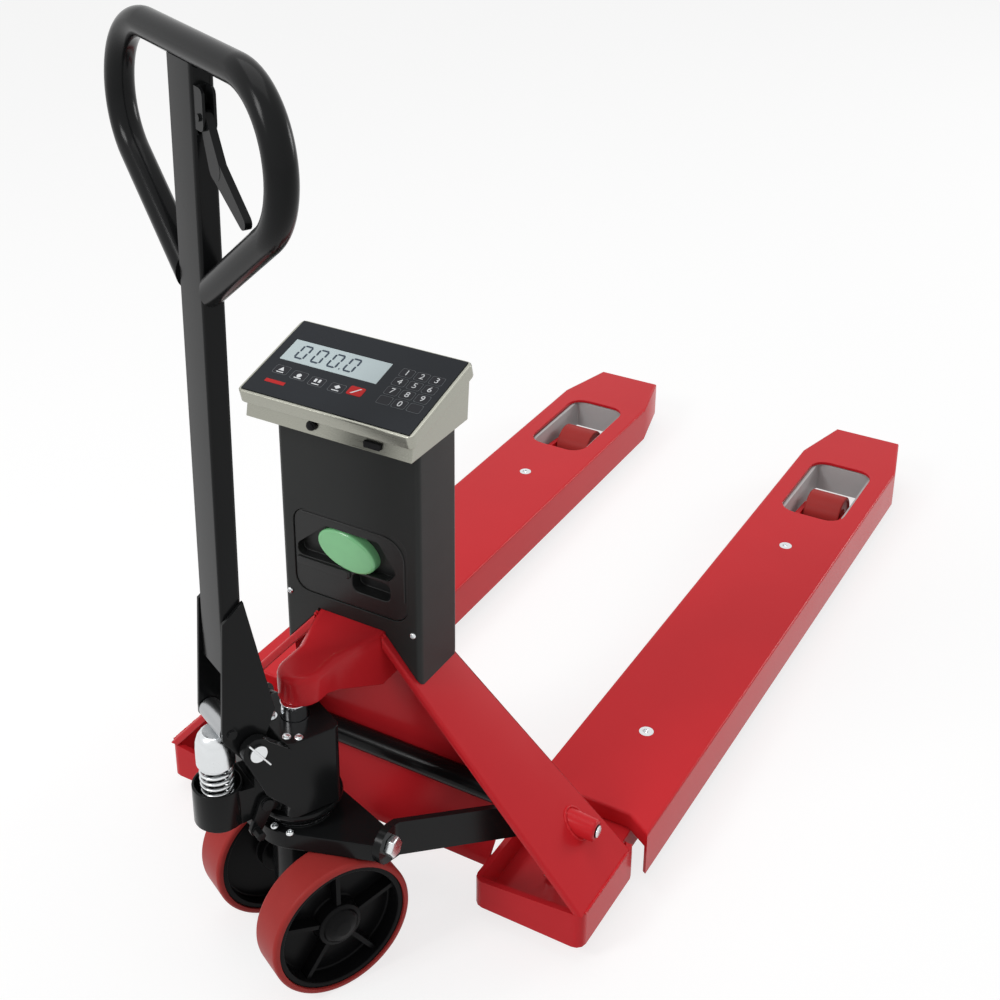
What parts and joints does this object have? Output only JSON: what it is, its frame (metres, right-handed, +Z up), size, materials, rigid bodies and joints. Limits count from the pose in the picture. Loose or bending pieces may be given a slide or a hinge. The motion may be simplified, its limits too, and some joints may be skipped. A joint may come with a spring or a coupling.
{
  "type": "pallet jack",
  "caption": "Hand pallet truck with a built-in scale: lifting forks on load rollers, steered pump with a tow handle, battery column and weight indicator.",
  "frame": {"origin": "on the floor under the middle of the bounding box", "axes": "+Y along the forks to their tips, +X to the right of a person at the handle facing the forks, +Z up"},
  "size_m": [0.685, 1.694, 1.1986],
  "materials": {
    "red_paint": "gloss",
    "black_paint": "satin",
    "beam_grey": "satin",
    "zinc": "satin",
    "chrome": "polished",
    "stainless": "satin",
    "steel": "satin",
    "keypad": "gloss",
    "display_glass": "gloss",
    "battery_plastic": "matte",
    "tread": "satin",
    "hub_plastic": "satin"
  },
  "bodies": {
    "yoke": {"pump_yoke": "black_paint", "thrust_bearing": "steel"},
    "chassis": {"fork_cover_left": "red_paint", "fork_cover_right": "red_paint", "base_left": "red_paint", "base_right": "red_paint", "leg_left": "red_paint", "leg_right": "red_paint", "shaft_boss_left": "red_paint", "shaft_boss_right": "red_paint", "fork_beam_left": "beam_grey", "fork_beam_right": "beam_grey", "load_cell_left_front": "zinc", "load_cell_left_rear": "zinc", "load_cell_right_front": "zinc", "load_cell_right_rear": "zinc", "indicator_body": "stainless", "indicator_bezel": "stainless", "lever_pin_left": "steel", "lever_pin_right": "steel", "head": "red_paint", "back_panel": "red_paint", "column": "black_paint", "keypad_panel": "keypad", "display": "display_glass", "lift_ram": "chrome"},
    "rocker": {"rocker_shaft": "black_paint", "rocker_arm_left": "black_paint", "rocker_arm_right": "black_paint", "yoke_bolt_left": "zinc", "yoke_bolt_right": "zinc"},
    "push_rod_left": {"push_rod_left": "steel"},
    "push_rod_right": {"push_rod_right": "steel"},
    "roller_lever_left": {"roller_lever_left": "red_paint", "roller_axle_left": "zinc"},
    "roller_lever_right": {"roller_lever_right": "red_paint", "roller_axle_right": "zinc"},
    "load_roller_left": {"load_roller_left": "tread"},
    "load_roller_right": {"load_roller_right": "tread"},
    "battery": {"battery": "battery_plastic"},
    "pump": {"pump_body": "black_paint", "axle_carrier": "black_paint", "wheel_axle": "steel", "plunger_spring": "zinc", "handle_pivot_pin": "zinc"},
    "plunger": {"plunger": "zinc"},
    "lowering_lever": {"lowering_lever": "black_paint"},
    "wheel_left": {"steer_tread_left": "tread", "steer_hub_left": "hub_plastic"},
    "wheel_right": {"steer_tread_right": "tread", "steer_hub_right": "hub_plastic"},
    "handle": {"handle_bracket": "black_paint", "handle_tube": "black_paint", "handle_loop": "black_paint", "control_bracket": "black_paint"},
    "cam_roller": {"cam_roller": "steel"},
    "control_lever": {"control_lever": "black_paint"},
    "release_rod": {"release_rod": "steel"}
  },
  "joints": [
    {"name": "steer", "type": "hinge", "parent": "yoke", "child": "pump", "pos_m": [0, -0.67604, 0.2], "axis": [0, 0, 1], "range_deg": [-63.5, 116.5]},
    {"name": "lift", "type": "slide", "parent": "yoke", "child": "chassis", "axis": [0, 0, 1], "range_m": [0, 0.115]},
    {"name": "rocker", "type": "hinge", "parent": "chassis", "child": "rocker", "pos_m": [0, -0.45904, 0.141], "axis": [1, 0, 0], "range_deg": [0, 29.4]},
    {"name": "push_rod_slide_right", "type": "slide", "parent": "chassis", "child": "push_rod_right", "axis": [0, 1, 0], "range_m": [0, 0.0207]},
    {"name": "roller_lever_hinge_right", "type": "hinge", "parent": "chassis", "child": "roller_lever_right", "pos_m": [0.2535, 0.45457, 0.052], "axis": [-1, 0, 0], "range_deg": [0, 48.75]},
    {"name": "load_roller_spin_right", "type": "hinge", "parent": "roller_lever_right", "child": "load_roller_right", "pos_m": [0.2535, 0.61396, 0.038], "axis": [1, 0, 0], "continuous": true},
    {"name": "push_rod_slide_left", "type": "slide", "parent": "chassis", "child": "push_rod_left", "axis": [0, 1, 0], "range_m": [0, 0.0207]},
    {"name": "roller_lever_hinge_left", "type": "hinge", "parent": "chassis", "child": "roller_lever_left", "pos_m": [-0.2535, 0.45457, 0.052], "axis": [-1, 0, 0], "range_deg": [0, 48.75]},
    {"name": "load_roller_spin_left", "type": "hinge", "parent": "roller_lever_left", "child": "load_roller_left", "pos_m": [-0.2535, 0.61396, 0.038], "axis": [1, 0, 0], "continuous": true},
    {"name": "battery_slide", "type": "slide", "parent": "chassis", "child": "battery", "axis": [0, -1, 0], "range_m": [0, 0.075]},
    {"name": "wheel_spin_right", "type": "hinge", "parent": "pump", "child": "wheel_right", "pos_m": [0.07025, -0.71107, 0.0947], "axis": [0.8949, -0.4462, 0], "continuous": true},
    {"name": "wheel_spin_left", "type": "hinge", "parent": "pump", "child": "wheel_left", "pos_m": [-0.07025, -0.64101, 0.0947], "axis": [0.8949, -0.4462, 0], "continuous": true},
    {"name": "handle_tilt", "type": "hinge", "parent": "pump", "child": "handle", "pos_m": [-0.03302, -0.74227, 0.358], "axis": [0.8949, -0.4462, 0], "range_deg": [0, 70], "stiffness_Nm_per_rad": 45, "springref_deg": -5.73},
    {"name": "plunger_slide", "type": "slide", "parent": "pump", "child": "plunger", "axis": [0, 0, -1], "range_m": [0, 0.0395], "deforming": ["plunger_spring"]},
    {"name": "cam_spin", "type": "hinge", "parent": "handle", "child": "cam_roller", "pos_m": [-0.04355, -0.76339, 0.38337], "axis": [0.8949, -0.4462, 0], "continuous": true},
    {"name": "control_hinge", "type": "hinge", "parent": "handle", "child": "control_lever", "pos_m": [0.00018, -0.76533, 1.12019], "axis": [-0.4461, -0.8948, 0.0157], "range_deg": [0, 18], "stiffness_Nm_per_rad": 1.5, "springref_deg": -5.73},
    {"name": "release_slide", "type": "slide", "parent": "handle", "child": "release_rod", "axis": [-0.007, -0.0141, -0.9999], "range_m": [0, 0.0109]},
    {"name": "lowering_hinge", "type": "hinge", "parent": "pump", "child": "lowering_lever", "pos_m": [-0.02588, -0.72795, 0.262], "axis": [-0.8949, 0.4462, 0], "range_deg": [0, 12.1]}
  ],
  "couplings": [
    {"joint": "rocker", "follows": "lift", "rad_per_m": 4.4559},
    {"joint": "push_rod_slide_right", "follows": "lift", "ratio": 0.1793},
    {"joint": "roller_lever_hinge_right", "follows": "lift", "rad_per_m": 7.3928},
    {"joint": "push_rod_slide_left", "follows": "lift", "ratio": 0.1793},
    {"joint": "roller_lever_hinge_left", "follows": "lift", "rad_per_m": 7.3928},
    {"joint": "plunger_slide", "follows": "handle_tilt", "m_per_rad": 0.0322},
    {"joint": "release_slide", "follows": "control_hinge", "m_per_rad": 0.0345},
    {"joint": "lowering_hinge", "follows": "control_hinge", "ratio": 0.6666}
  ]
}
